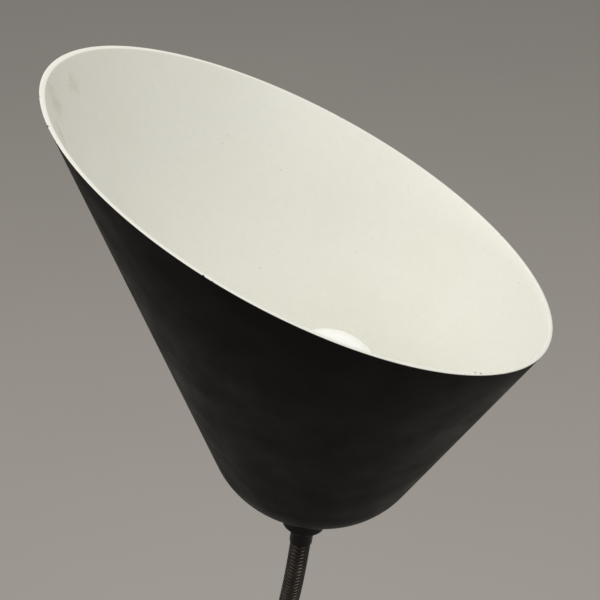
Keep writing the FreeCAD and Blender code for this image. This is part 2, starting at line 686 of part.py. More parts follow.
def make_lampholder():
    """The fibre washer and the lampholder that clamps the shade on its stud."""
    washer = tube("shade_washer", STUD_HOLE, "Size.fibre_radius", "Size.fibre_thickness")
    in_head(washer, size("shade_wall"))
    foot = size("shade_wall") + size("fibre_thickness")

    inside = "Size.holder_radius - Size.cap_wall"
    cap = turned("holder_cap", [
        (STUD_THREAD, "0"), ("Size.cap_foot", "0"), ("Size.holder_radius", "Size.cap_flare"),
        ("Size.holder_radius", "Size.cap_height"), (inside, "Size.cap_height"),
        (inside, "Size.insert_lift"), (f"{inside} - 4", "Size.insert_lift"),
        ("Size.cap_foot - Size.cap_wall", "Size.cap_thread"),
        (STUD_THREAD, "Size.cap_thread")])
    in_head(cap, foot)

    insert = rod("holder_insert", "Size.insert_radius", "Size.insert_thickness")
    in_head(insert, foot + size("insert_lift"))
    insert_top = foot + size("insert_lift") + size("insert_thickness")
    contact = rod("holder_contact", "Size.contact_radius", "Size.contact_thickness")
    in_head(contact, insert_top)
    shell = tube("holder_shell", "Size.shell_bore", "Size.shell_bore + Size.shell_wall",
                 "Size.shell_height")
    in_head(shell, insert_top)
    body = tube("holder_body", "Size.shell_bore + Size.shell_wall + Size.shell_clearance",
                "Size.holder_radius", "Size.holder_height")
    in_head(body, foot + size("cap_height"))
    return insert_top + size("contact_thickness")


def make_bulb(contact_top):
    """The opal bulb: a screw cap with its contact, and a thin glass envelope."""
    cap_inner = "Size.bulb_cap_radius - Size.bulb_cap_wall"
    shoulder = "Size.bulb_contact_height"
    cap = turned("bulb_cap", [
        ("0", "0"), ("Size.bulb_contact", "0"), ("Size.bulb_cap_radius", shoulder),
        ("Size.bulb_cap_radius", "Size.bulb_cap_height"), (cap_inner, "Size.bulb_cap_height"),
        (cap_inner, f"{shoulder} + Size.bulb_cap_wall"), ("0", f"{shoulder} + Size.bulb_cap_wall")])
    in_head(cap, contact_top)

    ball = size("bulb_radius")
    centre = size("bulb_centre")
    neck_top = centre - size("bulb_foot")
    neck_foot = contact_top + size("bulb_cap_height") - size("bulb_neck")
    neck = size("bulb_neck")

    def envelope(inset):
        """The solid of revolution inside the glass, shrunk by inset."""
        # The neck flares into the ball along an arc that is tangent to both.
        flare = (size("bulb_foot") ** 2 + neck ** 2 - ball ** 2) / (2 * (ball - neck))
        hollow = Vector(neck + flare, 0, neck_top)
        middle = Vector(0, 0, centre)
        toward = (middle - hollow).normalize()
        join = hollow + toward * (flare + inset)
        half_way = (toward + Vector(-1, 0, 0)).normalize()
        ball_top = Vector(0, 0, centre + ball - inset)
        bulge = Vector(ball - inset, 0, centre)
        foot = Vector(neck - inset, 0, neck_foot)
        edges = [
            Part.LineSegment(Vector(0, 0, neck_foot), foot).toShape(),
            Part.LineSegment(foot, Vector(neck - inset, 0, neck_top)).toShape(),
            Part.Arc(Vector(neck - inset, 0, neck_top), hollow + half_way * (flare + inset),
                     join).toShape(),
            Part.Arc(join, bulge, ball_top).toShape(),
            Part.LineSegment(ball_top, Vector(0, 0, neck_foot)).toShape()]
        face = Part.Face(Part.Wire(edges))
        return face.revolve(Vector(), Vector(0, 0, 1), 360)

    glass = feature("bulb_glass", envelope(0).cut(envelope(size("bulb_wall"))))
    in_head(glass, 0)


def make_head_lead():
    """The last of the lead, from the neck's top hinge to the lampholder's insert."""
    bottom = -size("collar_height") - size("sleeve_length") - size("link_pitch") / 2
    bottom += size("lead_gap") / 2
    foot = "Size.shade_wall + Size.fibre_thickness + Size.insert_lift"
    length = f"{foot} + Size.collar_height + Size.sleeve_length + Size.link_pitch / 2"
    lead = rod("head_lead", "Size.lead_radius", f"{length} - Size.lead_gap / 2")
    in_head(lead, bottom)


# --- the whole lamp ----------------------------------------------------------------------

def make_lamp():
    make_base_pad()
    make_base_weight()
    make_base_cover()
    make_base_fixings()
    make_cord_entry()
    make_foot_switch()
    make_pole_foot()
    make_pole()
    make_lower_ferrule()
    make_pole_lead()
    make_neck()
    make_upper_ferrule()
    make_collar()
    make_shade()
    contact_top = make_lampholder()
    make_bulb(contact_top)
    make_head_lead()


def check_and_write():
    """Refuse any failed object, then write one file for each piece."""
    document.recompute()
    for item in document.Objects:
        if "Invalid" in item.State or "Error" in item.State:
            raise RuntimeError(f"{item.Name} failed: {item.State}")
    for piece in pieces:
        if piece.Shape.isNull() or not piece.Shape.isValid() or not piece.Shape.Solids:
            raise RuntimeError(f"{piece.Label} has no valid solid")
    os.makedirs("parts", exist_ok=True)
    for piece in pieces:
        piece.Shape.exportStep(f"parts/{piece.Label}.step")
    print(len(pieces), "pieces written")


make_lamp()
check_and_write()
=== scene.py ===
"""A gooseneck floor lamp: its finishes and its visual pieces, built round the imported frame."""

import json
import math

import bmesh
import bpy
from mathutils import Matrix, Vector


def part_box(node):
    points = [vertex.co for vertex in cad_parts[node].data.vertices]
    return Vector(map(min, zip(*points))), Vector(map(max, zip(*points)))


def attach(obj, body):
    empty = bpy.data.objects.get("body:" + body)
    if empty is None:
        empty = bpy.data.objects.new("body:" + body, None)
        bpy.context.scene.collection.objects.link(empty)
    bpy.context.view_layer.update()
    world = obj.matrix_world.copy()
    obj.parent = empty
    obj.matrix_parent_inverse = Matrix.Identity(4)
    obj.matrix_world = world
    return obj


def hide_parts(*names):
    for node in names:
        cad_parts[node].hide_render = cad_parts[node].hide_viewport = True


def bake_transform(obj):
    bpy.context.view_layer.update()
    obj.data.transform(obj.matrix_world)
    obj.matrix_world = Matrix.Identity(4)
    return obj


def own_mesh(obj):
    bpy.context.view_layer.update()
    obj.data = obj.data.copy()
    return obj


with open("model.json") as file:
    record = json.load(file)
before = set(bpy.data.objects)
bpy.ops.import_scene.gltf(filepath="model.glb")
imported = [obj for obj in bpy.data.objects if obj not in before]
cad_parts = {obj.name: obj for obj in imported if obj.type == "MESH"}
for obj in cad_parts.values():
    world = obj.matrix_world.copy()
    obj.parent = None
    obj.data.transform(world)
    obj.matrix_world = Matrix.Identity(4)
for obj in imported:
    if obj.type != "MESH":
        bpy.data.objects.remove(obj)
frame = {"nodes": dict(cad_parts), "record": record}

bl_info = {
    "name": "Gooseneck floor lamp",
    "version": (1, 0, 0),
    "blender": (4, 5, 0),
    "location": "View3D > Sidebar > Lamp",
    "description": "Builds the visible pieces and the finishes of a gooseneck floor lamp",
    "category": "Mesh",
}

# The middles of the neck's hinges, from the pole to the head.
HINGES = [Vector(joint["pos_m"]) for joint in frame["record"]["behaviour"]["joints"]
          if joint["type"] == "hinge"]


# --- places read from the frame ----------------------------------------------------------

def middle(node):
    """The middle of a CAD node's box, which is on the axis of a plain ring or rod."""
    low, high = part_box(node)
    return (low + high) / 2


def head_axis():
    """The direction of the shade's axis, from its closed end towards its mouth."""
    return (middle("holder_body") - middle("holder_contact")).normalized()


def head_matrix(washer_lift):
    """The head's frame: the origin on the shade's seat, +Z along its axis."""
    axis = head_axis()
    seat = middle("shade_washer") - axis * washer_lift
    turn = Vector((0, 0, 1)).rotation_difference(axis).to_matrix().to_4x4()
    return Matrix.Translation(seat) @ turn


# --- sizes and colours that a user would change ------------------------------------------

def metres(name, description, default):
    """A length that the panel shows in the scene's units."""
    return bpy.props.FloatProperty(
        name=name, description=description, default=default, min=0, precision=5,
        subtype="DISTANCE", unit="LENGTH")


def degrees(name, description, default):
    """An angle, kept in radians and given here in degrees."""
    return bpy.props.FloatProperty(
        name=name, description=description, default=math.radians(default),
        subtype="ANGLE", unit="ROTATION")


def colour(name, description, default):
    """A colour in linear light."""
    return bpy.props.FloatVectorProperty(
        name=name, description=description, default=default, size=3, min=0, max=1,
        subtype="COLOR")


class LampShadeSizes(bpy.types.PropertyGroup):
    """The spun shade, measured from its seat."""

    hole: metres("Hole", "Radius of the hole for the threaded stud", 0.0053)
    seat: metres("Seat", "Radius of the flat seat", 0.013)
    floor_slope: degrees("Floor slope", "Rise of the floor outside the seat", 27)
    wall_foot: metres("Wall foot", "Radius where the wall's line meets the seat", 0.0386)
    half_angle: degrees("Half angle", "Angle between the wall and the axis", 25.5)
    wall: metres("Wall", "Thickness of the wall", 0.002)
    rounding: metres("Rounding", "Radius of the bend between floor and wall", 0.048)
    height: metres("Height", "Height of the mouth on the axis", 0.178)
    mouth_tilt: degrees("Mouth tilt", "Slant of the mouth", 20.6)
    mouth_turn: degrees("Mouth turn", "Turn of the mouth's high side about the axis", 7)
    lip_round: metres("Lip round", "Rounding of the painted lip", 0.00035)
    washer_lift: metres("Washer lift", "Middle of the fibre washer over the seat", 0.0026)
    sides: bpy.props.IntProperty(
        name="Sides", description="Faces round the shade", default=288, min=24)
    bend_steps: bpy.props.IntProperty(
        name="Bend steps", description="Rings in the floor's bend", default=16, min=3)
    wall_rings: bpy.props.IntProperty(
        name="Wall rings", description="Rings in the wall below the mouth", default=8,
        min=1)


class LampNeckSizes(bpy.types.PropertyGroup):
    """The wound hose of the neck."""

    radius: metres("Radius", "Outside radius of the hose", 0.0058)
    bore: metres("Bore", "Radius of the hose's bore", 0.0034)
    turns: bpy.props.IntProperty(
        name="Turns", description="Turns of wire in one link's length", default=15, min=4)
    spare_turns: bpy.props.IntProperty(
        name="Spare turns", description="Turns hidden in the ferrule and the sleeve",
        default=2, min=0)
    wire_share: bpy.props.FloatProperty(
        name="Wire share", description="Wire's width as a share of the turns' pitch",
        default=0.95, min=0.5, max=1, subtype="FACTOR")
    steps: bpy.props.IntProperty(
        name="Steps", description="Steps in one turn", default=32, min=12)
    wire_sides: bpy.props.IntProperty(
        name="Wire sides", description="Sides of the wire's section", default=10, min=6)


class LampSpringSizes(bpy.types.PropertyGroup):
    """The coil spring under the foot switch's button."""

    wire: metres("Wire", "Radius of the spring's wire", 0.0005)
    turns: bpy.props.IntProperty(
        name="Turns", description="Turns of the spring", default=5, min=2)
    steps: bpy.props.IntProperty(
        name="Steps", description="Steps in one turn", default=40, min=12)
    wire_sides: bpy.props.IntProperty(
        name="Wire sides", description="Sides of the wire's section", default=10, min=6)


class LampGripSizes(bpy.types.PropertyGroup):
    """The ribs round the lampholder's skirt."""

    ribs: bpy.props.IntProperty(
        name="Ribs", description="Ribs round the skirt", default=36, min=6)
    faces_per_rib: bpy.props.IntProperty(
        name="Faces per rib", description="Faces round the skirt for each rib",
        default=3, min=2)
    edge: metres("Edge", "Bevel at the skirt's ends", 0.0006)
    plain: metres("Plain", "Plain band at each end of the skirt", 0.004)
    taper: metres("Taper", "Slope of a rib's sides, along the skirt", 0.0003)
    depth: metres("Depth", "Height of a rib", 0.0006)


class LampColours(bpy.types.PropertyGroup):
    """The lamp's finishes."""

    black: colour("Black", "Satin black paint outside", (0.0030, 0.0024, 0.0019))
    cream: colour("Cream", "Cream white paint inside the shade", (0.80, 0.80, 0.745))
    neck: colour("Neck", "Blackened wire of the neck", (0.055, 0.049, 0.043))
    opal: colour("Opal", "Opal glass of the bulb", (0.93, 0.92, 0.88))
    floor: colour("Floor", "The floor under the lamp", (0.50, 0.475, 0.445))


class LampStageSizes(bpy.types.PropertyGroup):
    """The camera, seen from the shade's closed end, and the floor."""

    elevation: degrees("Elevation", "How far the camera looks down", 32)
    distance: metres("Distance", "From the shade's closed end back to the camera", 0.820)
    above: metres("Above", "Camera over the shade's closed end, across its view", 0.1149)
    beside: metres("Beside", "Camera to the left of the shade's closed end", 0.003)
    tip: metres("Tip", "Where the floor's lines would meet, under the seat", 0.0066)
    lens: bpy.props.FloatProperty(
        name="Lens", description="Focal length in millimetres", default=90, min=10)
    floor_width: metres("Floor width", "Side of the floor", 240)


# --- finishes ----------------------------------------------------------------------------

# Most of a noise node's values lie in this range.
NOISE_RANGE = (0.3, 0.7)

# What dust, wear and age leave on a surface, in linear light.
DUST = (0.03, 0.0276, 0.0255, 1)
PAINT_SPECK = (0.25, 0.22, 0.17, 1)
SMUDGE = (0.52, 0.43, 0.33, 1)
CHIPPED = (0.05, 0.035, 0.028, 1)
RUST = (0.11, 0.045, 0.02, 1)

# What is left of the red, green and blue of cream paint where it has yellowed.
YELLOWED = (0.92, 0.89, 0.8)


class Finish:
    """One material and short ways to add the nodes that all the finishes use."""

    def __init__(self, name):
        self.material = bpy.data.materials.new(name)
        self.material.use_nodes = True
        self.nodes = self.material.node_tree.nodes
        self.links = self.material.node_tree.links
        self.shader = self.nodes["Principled BSDF"]
        self.place = self.nodes.new("ShaderNodeTexCoord").outputs["Object"]

    def set(self, **values):
        """Set the shader's own sockets, named with underscores for spaces."""
        for name, value in values.items():
            self.shader.inputs[name.replace("_", " ")].default_value = value

    def fill(self, socket, value):
        """Link another node's output into a socket, or set it to a plain value."""
        if isinstance(value, bpy.types.NodeSocket):
            self.links.new(value, socket)
        else:
            socket.default_value = value

    def node(self, kind, **inputs):
        """Add a node and fill its inputs by name, with underscores for spaces."""
        node = self.nodes.new(kind)
        for name, value in inputs.items():
            self.fill(node.inputs[name.replace("_", " ")], value)
        return node

    def noise(self, scale, detail, rough=0.5):
        """Even noise through the piece, from 0 to 1."""
        node = self.node("ShaderNodeTexNoise", Vector=self.place, Scale=scale,
                         Detail=detail, Roughness=rough)
        return node.outputs["Fac"]

    def between(self, value, low, high, to_low=0.0, to_high=1.0):
        """Stretch a value from one range to another and hold it at the ends."""
        node = self.node("ShaderNodeMapRange", Value=value, From_Min=low, From_Max=high,
                         To_Min=to_low, To_Max=to_high)
        return node.outputs["Result"]

    def spread(self, noise, low=0.0, high=1.0):
        """Stretch noise from the range that most of it lies in to another range."""
        return self.between(noise, *NOISE_RANGE, low, high)

    def combine(self, operation, first, second):
        """One calculation on two values, such as ADD or MULTIPLY."""
        node = self.nodes.new("ShaderNodeMath")
        node.operation = operation
        self.fill(node.inputs[0], first)
        self.fill(node.inputs[1], second)
        return node.outputs["Value"]

    def mix(self, mask, first, second):
        """The first colour where the mask is 0 and the second where it is 1."""
        node = self.nodes.new("ShaderNodeMix")
        node.data_type = "RGBA"
        # The node's sockets for colours share their names with those for numbers.
        for number, value in ((0, mask), (6, first), (7, second)):
            self.fill(node.inputs[number], value)
        return node.outputs[2]

    def colour(self, socket):
        """Use a node's output as the surface's colour."""
        self.links.new(socket, self.shader.inputs["Base Color"])

    def roughness(self, socket):
        """Use a node's output as the surface's roughness."""
        self.links.new(socket, self.shader.inputs["Roughness"])

    def bump(self, height, strength, distance):
        """Raise the surface by a height map; distance is the full height in metres."""
        node = self.node("ShaderNodeBump", Strength=strength, Distance=distance,
                         Height=height)
        self.links.new(node.outputs["Normal"], self.shader.inputs["Normal"])


def opaque(rgb, gain=1.0):
    """A colour of three numbers as four, made lighter or darker by gain."""
    return (rgb[0] * gain, rgb[1] * gain, rgb[2] * gain, 1.0)


def satin_paint(name, rgb, rough, shine=0.3):
    """Sprayed satin paint: a fine skin, uneven gloss, faint marks and a little dust."""
    finish = Finish(name)
    finish.set(IOR=1.4, Specular_IOR_Level=shine)
    clouds = finish.noise(16, 3)
    specks = finish.between(finish.noise(900, 1), 0.735, 0.79)
    patches = finish.between(finish.noise(38, 2), 0.45, 0.75)
    dusty = finish.combine("MULTIPLY", specks, patches)
    tone = finish.mix(finish.between(clouds, 0.35, 0.7), opaque(rgb, 0.8), opaque(rgb, 1.5))
    finish.colour(finish.mix(dusty, tone, DUST))
    finish.roughness(finish.spread(finish.noise(45, 4, 0.6), *rough))
    finish.bump(finish.noise(1100, 2), 0.12, 0.00012)
    return finish.material


def ragged_distance(finish, place, size, ragged):
    """The distance from a place, made longer or shorter by up to half a size."""
    away = finish.node("ShaderNodeVectorMath", Vector=finish.place)
    away.operation = "DISTANCE"
    away.inputs[1].default_value = place
    return finish.combine("ADD", away.outputs["Value"],
                          finish.spread(ragged, -0.5 * size, 0.5 * size))


def cream_paint(name, rgb, chips, smudges):
    """Cream enamel inside the shade, with chips and smudges as (place, size) pairs."""
    finish = Finish(name)
    finish.set(Specular_IOR_Level=0.35, IOR=1.48)
    stain = finish.between(finish.noise(11, 3, 0.6), 0.52, 0.85)
    mottle = finish.spread(finish.noise(260, 3, 0.65))
    specks = finish.between(finish.noise(620, 1), 0.785, 0.81)
    tone = finish.mix(mottle, opaque(rgb, 0.985), opaque(rgb, 1.012))
    yellowed = opaque([part * left for part, left in zip(rgb, YELLOWED)])
    tone = finish.mix(finish.combine("MULTIPLY", stain, 0.4), tone, yellowed)
    tone = finish.mix(finish.combine("MULTIPLY", specks, 0.5), tone, PAINT_SPECK)
    ragged = finish.noise(260, 4, 0.7)
    for place, size in smudges:
        away = ragged_distance(finish, place, size, ragged)
        tone = finish.mix(finish.between(away, 0.1 * size, size, 0.4, 0), tone, SMUDGE)
    fine = finish.noise(1500, 3, 0.7)
    for place, size in chips:
        away = ragged_distance(finish, place, size, fine)
        tone = finish.mix(finish.between(away, 0.85 * size, size, 1, 0), tone, CHIPPED)
    finish.colour(tone)
    finish.roughness(finish.spread(finish.noise(60, 3), 0.34, 0.48))
    finish.bump(finish.noise(650, 3, 0.6), 0.12, 0.00015)
    return finish.material


def blackened_wire(name, rgb):
    """Blackened spring wire, rubbed brighter in places along its turns."""
    finish = Finish(name)
    finish.set(Metallic=1.0)
    rubbed = finish.between(finish.noise(130, 3, 0.6), 0.4, 0.75)
    finish.colour(finish.mix(rubbed, opaque(rgb, 0.85), opaque(rgb, 1.4)))
    finish.roughness(finish.spread(finish.noise(420, 3), 0.2, 0.32))
    finish.bump(finish.noise(1600, 2), 0.1, 0.00004)
    return finish.material


def plated_metal(name, rgb):
    """Bright plated or drawn metal with faint tarnish and fine scratches."""
    finish = Finish(name)
    finish.set(Metallic=1.0)
    tarnish = finish.between(finish.noise(160, 4, 0.6), 0.45, 0.8)
    finish.colour(finish.mix(tarnish, opaque(rgb), opaque(rgb, 0.62)))
    finish.roughness(finish.spread(finish.noise(300, 4), 0.22, 0.4))
    finish.bump(finish.noise(2200, 2), 0.1, 0.00005)
    return finish.material


def cast_metal(name, rgb):
    """Rough cast metal, pitted and unevenly dark."""
    finish = Finish(name)
    finish.set(Metallic=0.6)
    grain = finish.noise(420, 6, 0.7)
    rust = finish.between(finish.noise(60, 4, 0.65), 0.58, 0.8)
    tone = finish.mix(finish.spread(grain), opaque(rgb, 0.6), opaque(rgb, 1.5))
    finish.colour(finish.mix(rust, tone, RUST))
    finish.roughness(finish.spread(grain, 0.55, 0.85))
    finish.bump(grain, 0.5, 0.0004)
    return finish.material


def moulded(name, rgb, rough=(0.4, 0.55), grain=900, depth=0.00008):
    """Moulded plastic, rubber or ceramic with a fine grain."""
    finish = Finish(name)
    finish.set(Specular_IOR_Level=0.45)
    tone = finish.spread(finish.noise(70, 3))
    finish.colour(finish.mix(tone, opaque(rgb, 0.85), opaque(rgb, 1.15)))
    finish.roughness(finish.spread(finish.noise(200, 3), *rough))
    finish.bump(finish.noise(grain, 2), 0.2, depth)
    return finish.material


def foam_rubber(name, rgb):
    """Closed-cell foam with open pores at its cut face, their pits darkened by painted shade."""
    finish = Finish(name)
    finish.set(Specular_IOR_Level=0.25)
    cells = finish.node("ShaderNodeTexVoronoi", Vector=finish.place, Scale=900.0)
    depth = cells.outputs["Distance"]
    # Painted shade: the colour darkens into each pore's pit, following the same map that sinks
    # it.
    finish.colour(finish.mix(depth, opaque(rgb, 0.5), opaque(rgb, 1.8)))
    finish.roughness(finish.spread(finish.noise(240, 3), 0.78, 0.95))
    finish.bump(depth, 0.5, 0.0004)
    return finish.material


def fibre_board(name, rgb):
    """Pressed red fibre with short streaks."""
    finish = Finish(name)
    streaks = finish.spread(finish.noise(520, 5, 0.7))
    finish.colour(finish.mix(streaks, opaque(rgb, 0.7), opaque(rgb, 1.3)))
    finish.roughness(finish.between(streaks, 0, 1, 0.6, 0.8))
    finish.bump(streaks, 0.3, 0.0001)
    return finish.material


def opal_glass(name, rgb):
    """Opal glass: a smooth glossy skin over a milky body."""
    finish = Finish(name)
    finish.set(Subsurface_Weight=0.35, Subsurface_Scale=0.004, IOR=1.5,
               Specular_IOR_Level=0.5, Coat_Weight=0.3, Coat_Roughness=0.04)
    finish.shader.inputs["Subsurface Radius"].default_value = (1.0, 0.9, 0.75)
    milk = finish.spread(finish.noise(35, 2))
    finish.colour(finish.mix(milk, opaque(rgb, 0.97), opaque(rgb, 1.02)))
    finish.roughness(finish.spread(finish.noise(90, 3), 0.09, 0.16))
    finish.bump(finish.noise(55, 1), 0.05, 0.0002)
    return finish.material


def pale_floor(name, rgb):
    """The plain floor, with the faintest unevenness."""
    finish = Finish(name)
    finish.set(Specular_IOR_Level=0.2)
    clouds = finish.spread(finish.noise(1.3, 3))
    finish.colour(finish.mix(clouds, opaque(rgb, 0.985), opaque(rgb, 1.015)))
    finish.roughness(finish.between(clouds, 0, 1, 0.85, 0.95))
    return finish.material


# --- modelling helpers -------------------------------------------------------------------

# Points nearer to each other than this are one point, in metres.
SAME_POINT = 0.000005

# Edges flatter than this are shaded smooth, in degrees: on a turned piece and on a wire.
SMOOTH = 35
WIRE_SMOOTH = 60


def start_fresh():
    """Leave edit mode with nothing selected, because operators act on the selection."""
    if bpy.context.object and bpy.context.object.mode != "OBJECT":
        bpy.ops.object.mode_set(mode="OBJECT")
    bpy.ops.object.select_all(action="DESELECT")


def new_circle(name, sides, radius, turn=(0, 0, 0)):
    """A new piece: a circle of edges round the origin, facing +Z before its turn."""
    start_fresh()
    bpy.ops.mesh.primitive_circle_add(vertices=sides, radius=radius, location=(0, 0, 0),
                                      rotation=turn)
    piece = bpy.context.object
    piece.name = name
    piece.data.name = name
    return piece


def new_ring(name, sides, radius, height):
    """A circle of edges round +Z, open for editing, as the start of a turned piece."""
    piece = new_circle(name, sides, radius)
    bpy.ops.object.mode_set(mode="EDIT")
    bpy.ops.mesh.select_all(action="SELECT")
    bpy.ops.transform.translate(value=(0, 0, height))
    return piece


def draw_ring_on(radius, height, last_radius, last_height):
    """Extrude the selected ring of edges to a new radius and height."""
    rise = height - last_height
    bpy.ops.mesh.extrude_region_move(TRANSFORM_OT_translate={"value": (0, 0, rise)})
    share = radius / last_radius
    bpy.ops.transform.resize(value=(share, share, 1), center_override=(0, 0, height))


def turned_shell(name, sides, outline):
    """A shell turned round +Z through (radius, height) points, left in edit mode."""
    (radius, height), *rest = outline
    piece = new_ring(name, sides, radius, height)
    for next_radius, next_height in rest:
        draw_ring_on(next_radius, next_height, radius, height)
        radius, height = next_radius, next_height
    return piece


def merge_points():
    """In edit mode, join the points that are in one place."""
    bpy.ops.mesh.select_all(action="SELECT")
    bpy.ops.mesh.remove_doubles(threshold=SAME_POINT)


def unselected_mesh(piece):
    """The mesh that is open for editing, with nothing in it selected."""
    mesh = bmesh.from_edit_mesh(piece.data)
    for part in (mesh.verts, mesh.edges, mesh.faces):
        for item in part:
            item.select = False
    return mesh


def select_faces(piece, test):
    """In edit mode, select just the faces that pass the test on (centre, normal)."""
    mesh = unselected_mesh(piece)
    for face in mesh.faces:
        if test(face.calc_center_median(), face.normal):
            face.select = True
    bmesh.update_edit_mesh(piece.data)


def select_edges(piece, test):
    """In edit mode, select just the edges that pass the test."""
    mesh = unselected_mesh(piece)
    for edge in mesh.edges:
        if test(edge):
            edge.select = True
    bmesh.update_edit_mesh(piece.data)


def outward(piece):
    """Turn every face outwards and go back to object mode."""
    bpy.ops.mesh.select_all(action="SELECT")
    bpy.ops.mesh.normals_make_consistent(inside=False)
    bpy.ops.object.mode_set(mode="OBJECT")


def select_pieces(active, *others):
    """In object mode, select just these pieces, with the first as the active one."""
    start_fresh()
    for piece in (active, *others):
        piece.select_set(True)
    bpy.context.view_layer.objects.active = active


def apply_modifiers(piece):
    """Apply every modifier, in order."""
    select_pieces(piece)
    for modifier in list(piece.modifiers):
        bpy.ops.object.modifier_apply(modifier=modifier.name)


def settle(piece, matrix, smooth=SMOOTH):
    """Put a finished piece in place, with its place in its mesh, and shade it smooth."""
    select_pieces(piece)
    piece.matrix_world = matrix
    bpy.ops.object.transform_apply(location=True, rotation=True, scale=True)
    bpy.ops.object.shade_smooth_by_angle(angle=math.radians(smooth))


def paint(material, *nodes):
    """Give CAD nodes a finish."""
    for node in nodes:
        target = frame["nodes"][node]
        target.data.materials.clear()
        target.data.materials.append(material)


# --- the shade ---------------------------------------------------------------------------

# The shade's second material, inside and on the lip.
CREAM_SLOT = 1

# What lies on the slanted cut: within this distance of it, in metres, and, for a face,
# with a normal whose share across the cut is at least this.
CUT_TOLERANCE = 0.00004
CUT_FACING = 0.99

# The lip's edges turn by more than this, and get rounded in this many steps.
LIP_ANGLE = math.radians(30)
LIP_STEPS = 3

# Where the lip lost its paint: degrees round the mouth from its low side, the place across
# the lip from its outer edge (0) to its inner edge (1), and the chip's size in metres.
LIP_CHIPS = (
    (-69.6, 0.9, 0.0007), (-68.1, 0.5, 0.0005), (-65.8, 0.8, 0.0003), (-64.3, 0.7, 0.0004),
    (-62.6, 0.9, 0.0003), (-126.5, 0.0, 0.0008), (-124.8, 0.0, 0.0004), (-167.4, 0.0, 0.0008),
    (-177.6, 0.0, 0.0006), (172.4, 0.9, 0.0003), (173.0, 0.6, 0.00025), (173.6, 0.3, 0.0003),
    (141.2, 1.0, 0.0006), (84.0, 0.2, 0.0004), (28.0, 0.4, 0.0004))

# Faint smudges inside the wall: degrees round the mouth, the depth below the lip and size.
WALL_SMUDGES = (
    (176, 0.010, 0.010), (-176, 0.016, 0.008), (163, 0.012, 0.006), (-169, 0.006, 0.005))


def shade_outline(sizes):
    """The outside of the shade as (radius, height) points, from its hole past its mouth."""
    slope, half = math.tan(sizes.floor_slope), math.tan(sizes.half_angle)
    corner_radius = (sizes.wall_foot - sizes.seat * slope * half) / (1 - slope * half)
    corner = Vector((corner_radius, (corner_radius - sizes.seat) * slope))
    along_floor = Vector((math.cos(sizes.floor_slope), math.sin(sizes.floor_slope)))
    along_wall = Vector((math.sin(sizes.half_angle), math.cos(sizes.half_angle)))
    turn = along_floor.angle(along_wall)
    tangent = sizes.rounding * math.tan(turn / 2)
    centre = (corner + along_wall * tangent
              + Vector((-along_wall.y, along_wall.x)) * sizes.rounding)
    points = [(sizes.hole, 0.0), (sizes.seat, 0.0)]
    for step in range(sizes.bend_steps + 1):
        angle = sizes.floor_slope + turn * step / sizes.bend_steps
        points.append((centre.x + sizes.rounding * math.sin(angle),
                       centre.y - sizes.rounding * math.cos(angle)))
    last_radius, last_height = points[-1]
    below_mouth = lip_point(sizes, 0).z - sizes.wall * 2
    for ring in range(1, sizes.wall_rings + 1):
        height = last_height + (below_mouth - last_height) * ring / sizes.wall_rings
        points.append((sizes.wall_foot + height * half, height))
    # One long band reaches past the mouth, so that the slanted cut meets no other ring.
    top = 2 * sizes.height
    points.append((sizes.wall_foot + top * half, top))
    return points


def mouth_plane(sizes):
    """A point on the slanted mouth and its normal, in the shade's own frame."""
    normal = Vector((math.sin(sizes.mouth_tilt), 0, math.cos(sizes.mouth_tilt)))
    return Vector((0, 0, sizes.height)), normal


def lip_point(sizes, around, inset=0.5, depth=0.0):
    """A place on the mouth at an angle round it, counted from its low side.

    Inset goes from 0 at the outer edge to 1 at the inner edge, and depth goes down
    inside the wall."""
    half, tilt = math.tan(sizes.half_angle), math.tan(sizes.mouth_tilt)
    outside = ((sizes.wall_foot + sizes.height * half)
               / (1 + half * tilt * math.cos(around)))
    height = sizes.height - tilt * outside * math.cos(around) - depth
    radius = outside - inset * sizes.wall / math.cos(sizes.half_angle) - depth * half
    return Vector((radius * math.cos(around), radius * math.sin(around), height))


def build_shade(sizes, colours):
    """The spun cone, cut on a slant, black outside and cream inside and on its lip."""
    shade = turned_shell("lamp_shade", sizes.sides, shade_outline(sizes))
    outward(shade)
    wall = shade.modifiers.new("wall", "SOLIDIFY")
    wall.thickness = sizes.wall
    wall.offset = -1
    wall.use_even_offset = True
    wall.material_offset = CREAM_SLOT
    place = head_matrix(sizes.washer_lift) @ Matrix.Rotation(sizes.mouth_turn, 4, "Z")
    chips = [(place @ lip_point(sizes, math.radians(angle), inset), size)
             for angle, inset, size in LIP_CHIPS]
    smudges = [(place @ lip_point(sizes, math.radians(angle), 1, depth), size)
               for angle, depth, size in WALL_SMUDGES]
    shade.data.materials.append(satin_paint("shade_black", colours.black, (0.4, 0.55), 0.1))
    shade.data.materials.append(cream_paint("shade_cream", colours.cream, chips, smudges))
    apply_modifiers(shade)

    point, normal = mouth_plane(sizes)
    bpy.ops.object.mode_set(mode="EDIT")
    bpy.ops.mesh.select_all(action="SELECT")
    bpy.ops.mesh.bisect(plane_co=point, plane_no=normal, clear_outer=True,
                        clear_inner=False)

    def on_cut(*places):
        """Whether every place lies on the slanted cut."""
        return all(abs((place - point).dot(normal)) < CUT_TOLERANCE for place in places)

    select_edges(shade, lambda edge: edge.is_boundary
                 and on_cut(*(vertex.co for vertex in edge.verts)))
    bpy.ops.mesh.bridge_edge_loops()
    select_faces(shade, lambda centre, facing: on_cut(centre)
                 and abs(facing.dot(normal)) > CUT_FACING)
    shade.active_material_index = CREAM_SLOT
    bpy.ops.object.material_slot_assign()
    select_edges(shade, lambda edge: on_cut(*(vertex.co for vertex in edge.verts))
                 and len(edge.link_faces) == 2 and edge.calc_face_angle(0) > LIP_ANGLE)
    bpy.ops.mesh.bevel(offset=sizes.lip_round, segments=LIP_STEPS, material=CREAM_SLOT)
    outward(shade)
    settle(shade, place)
    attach(shade, "head")
    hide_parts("shade")


# --- the neck ----------------------------------------------------------------------------

